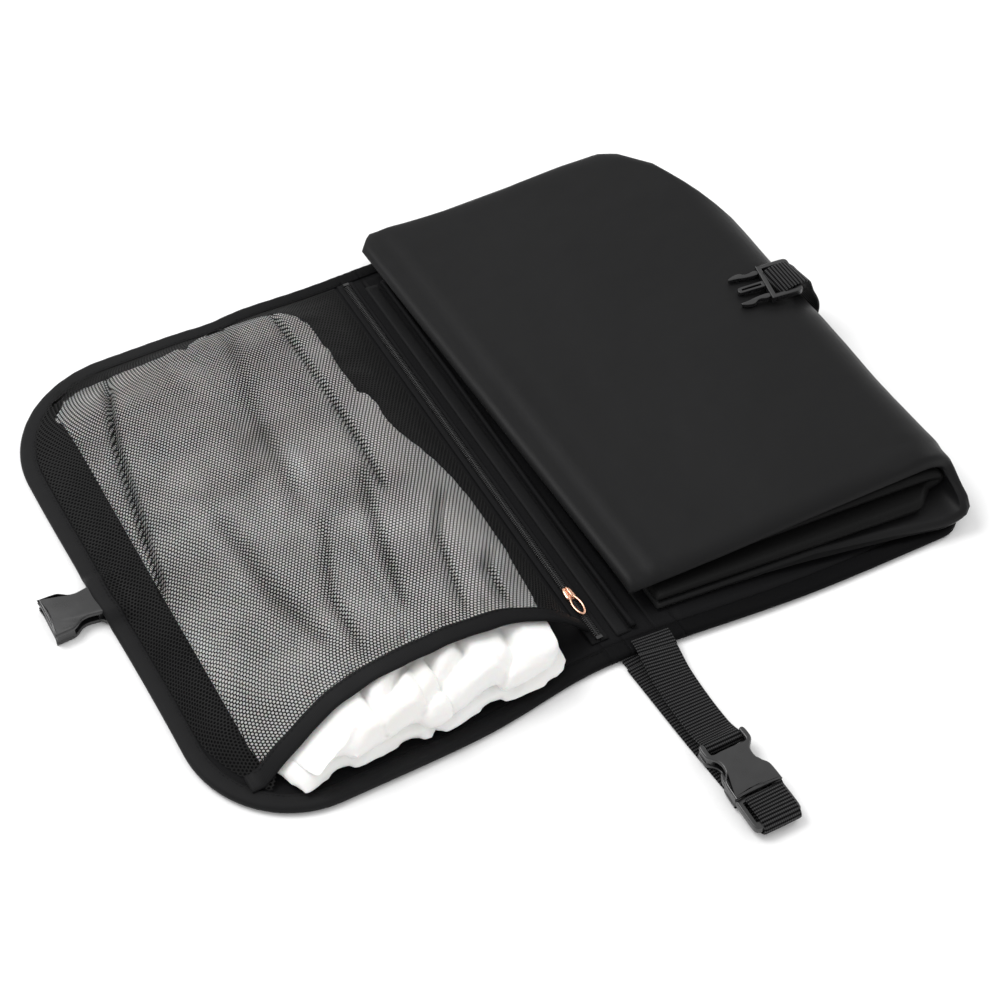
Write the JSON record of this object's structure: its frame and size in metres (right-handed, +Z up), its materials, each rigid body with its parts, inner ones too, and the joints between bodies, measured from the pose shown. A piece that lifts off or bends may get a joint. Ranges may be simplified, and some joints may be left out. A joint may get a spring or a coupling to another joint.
{
  "type": "changing pad",
  "caption": "Travel changing clutch lying open: folded padded changing mat, mesh pocket with diapers, zip, closure strap and wrist strap with side-release buckles.",
  "frame": {"origin": "middle of the spine's underside, on the surface that the open clutch lies on", "axes": "+X from the flap with the mesh pocket to the base with the folded pad, +Y from the front edge with the wrist strap to the back, +Z up"},
  "size_m": [0.4697, 0.464, 0.045],
  "materials": {
    "outer_fabric": "satin black polyester",
    "lining_fabric": "plain woven black polyester",
    "binding_tape": "folded satin binding tape",
    "interlining_foam": "thin sheet of foam",
    "pad_fabric": "smooth coated black fabric with a soft sheen",
    "pad_foam": "soft padding",
    "mesh_fabric": "open knitted black mesh with 2 mm holes",
    "diaper_nonwoven": "soft white nonwoven",
    "webbing": "20 mm ribbed black webbing",
    "buckle_plastic": "moulded black acetal, semi-gloss",
    "zip_tape": "woven zip tape",
    "zip_coil": "nylon coil",
    "zip_metal": "polished rose-gold plated metal"
  },
  "bodies": {
    "base": {"base_outer_fabric": "outer_fabric", "base_foam": "interlining_foam", "base_lining": "lining_fabric", "base_binding": "binding_tape", "pad_bottom_foam": "pad_foam", "pad_bottom_cover": "pad_fabric", "pad_lower_middle_foam": "pad_foam", "pad_lower_middle_cover": "pad_fabric", "closure_webbing_root": "webbing"},
    "spine": {"spine_outer_fabric": "outer_fabric", "spine_foam": "interlining_foam", "spine_lining": "lining_fabric", "spine_binding": "binding_tape", "spine_facing_strip": "binding_tape", "spine_piping": "binding_tape", "wrist_webbing_root_upper": "webbing", "wrist_webbing_root_lower": "webbing"},
    "flap": {"flap_outer_fabric": "outer_fabric", "flap_foam": "interlining_foam", "flap_lining": "lining_fabric", "flap_binding": "binding_tape", "zip_pocket_bag": "lining_fabric", "mesh_pocket_panel": "mesh_fabric", "mesh_mouth_binding": "binding_tape", "zip_tape_left": "zip_tape", "zip_tape_right": "zip_tape", "zip_coil_left": "zip_coil", "zip_coil_right": "zip_coil", "zip_stop_front": "zip_coil", "zip_stop_back": "zip_coil", "closure_tab_webbing": "webbing"},
    "pad_top_half": {"pad_upper_middle_foam": "pad_foam", "pad_upper_middle_cover": "pad_fabric", "pad_top_foam": "pad_foam", "pad_top_cover": "pad_fabric"},
    "strap_rise": {"closure_webbing_rise": "webbing"},
    "strap_end": {"closure_webbing_end": "webbing", "closure_buckle_male": "buckle_plastic"},
    "closure_prong_left": {"closure_buckle_prong_left": "buckle_plastic"},
    "closure_prong_right": {"closure_buckle_prong_right": "buckle_plastic"},
    "closure_socket": {"closure_buckle_female": "buckle_plastic"},
    "wrist_strap": {"wrist_webbing_upper": "webbing", "wrist_webbing_lower": "webbing", "wrist_buckle_female": "buckle_plastic", "wrist_buckle_male": "buckle_plastic"},
    "wrist_prong_left": {"wrist_buckle_prong_left": "buckle_plastic"},
    "wrist_prong_right": {"wrist_buckle_prong_right": "buckle_plastic"},
    "slider": {"zip_slider": "zip_metal"},
    "pull": {"zip_pull": "zip_metal"},
    "diaper_a": {"diaper_lower_left": "diaper_nonwoven"},
    "diaper_b": {"diaper_lower_right": "diaper_nonwoven"},
    "diaper_c": {"diaper_upper_left": "diaper_nonwoven"},
    "diaper_d": {"diaper_upper_right": "diaper_nonwoven"}
  },
  "joints": [
    {"name": "spine_fold", "type": "hinge", "parent": "base", "child": "spine", "pos_m": [0.0155, 0, 0.004], "axis": [0, 1, 0], "range_deg": [0, 38]},
    {"name": "flap_fold", "type": "hinge", "parent": "spine", "child": "flap", "pos_m": [-0.0155, 0, 0.004], "axis": [0, 1, 0], "range_deg": [0, 106]},
    {"name": "pad_open", "type": "hinge", "parent": "base", "child": "pad_top_half", "pos_m": [0.1965, 0, 0.022], "axis": [0, 1, 0], "range_deg": [0, 180]},
    {"name": "strap_leans_out", "type": "hinge", "parent": "base", "child": "strap_rise", "pos_m": [0.199, 0.006, 0.0015], "axis": [0, 1, 0], "range_deg": [0, 90]},
    {"name": "strap_lays_flat", "type": "hinge", "parent": "strap_rise", "child": "strap_end", "pos_m": [0.1955, 0.006, 0.041], "axis": [0, 1, 0], "range_deg": [0, 90]},
    {"name": "closure_prong_press_left", "type": "hinge", "parent": "strap_end", "child": "closure_prong_left", "pos_m": [0.17664, 0.00098, 0.04], "axis": [0.0984, 0, -0.9951], "range_deg": [0, 6], "stiffness_Nm_per_rad": 0.2},
    {"name": "closure_prong_press_right", "type": "hinge", "parent": "strap_end", "child": "closure_prong_right", "pos_m": [0.17944, 0.01694, 0.04027], "axis": [-0.0984, 0, 0.9951], "range_deg": [0, 6], "stiffness_Nm_per_rad": 0.2},
    {"name": "closure_socket_swing", "type": "hinge", "parent": "flap", "child": "closure_socket", "pos_m": [-0.236, 0, 0.0021], "axis": [0, -1, 0], "range_deg": [0, 60]},
    {"name": "wrist_strap_lift", "type": "hinge", "parent": "spine", "child": "wrist_strap", "pos_m": [0.0005, -0.169, 0.0046], "axis": [1, 0, 0], "range_deg": [-95, 0]},
    {"name": "wrist_prong_press_left", "type": "hinge", "parent": "wrist_strap", "child": "wrist_prong_left", "pos_m": [-0.0076, -0.26695, 0.00585], "axis": [0, 0, -1], "range_deg": [0, 6], "stiffness_Nm_per_rad": 0.2},
    {"name": "wrist_prong_press_right", "type": "hinge", "parent": "wrist_strap", "child": "wrist_prong_right", "pos_m": [0.0086, -0.26695, 0.00585], "axis": [0, 0, 1], "range_deg": [0, 6], "stiffness_Nm_per_rad": 0.2},
    {"name": "zip_run", "type": "slide", "parent": "flap", "child": "slider", "axis": [0, 1, 0], "range_m": [-0.026, 0.262]},
    {"name": "zip_pull_turn", "type": "hinge", "parent": "slider", "child": "pull", "pos_m": [-0.02, -0.1157, 0.0074], "axis": [-1, 0, 0], "range_deg": [0, 180]},
    {"name": "diaper_a_pull_out", "type": "slide", "parent": "flap", "child": "diaper_a", "axis": [0, -1, 0], "range_m": [0, 0.3]},
    {"name": "diaper_b_pull_out", "type": "slide", "parent": "flap", "child": "diaper_b", "axis": [0, -1, 0], "range_m": [0, 0.3]},
    {"name": "diaper_c_pull_out", "type": "slide", "parent": "flap", "child": "diaper_c", "axis": [0, -1, 0], "range_m": [0, 0.22]},
    {"name": "diaper_d_pull_out", "type": "slide", "parent": "flap", "child": "diaper_d", "axis": [0, -1, 0], "range_m": [0, 0.22]}
  ],
  "couplings": [
    {"joint": "strap_leans_out", "follows": "pad_open", "ratio": 0.5},
    {"joint": "strap_lays_flat", "follows": "pad_open", "ratio": 0.5}
  ]
}
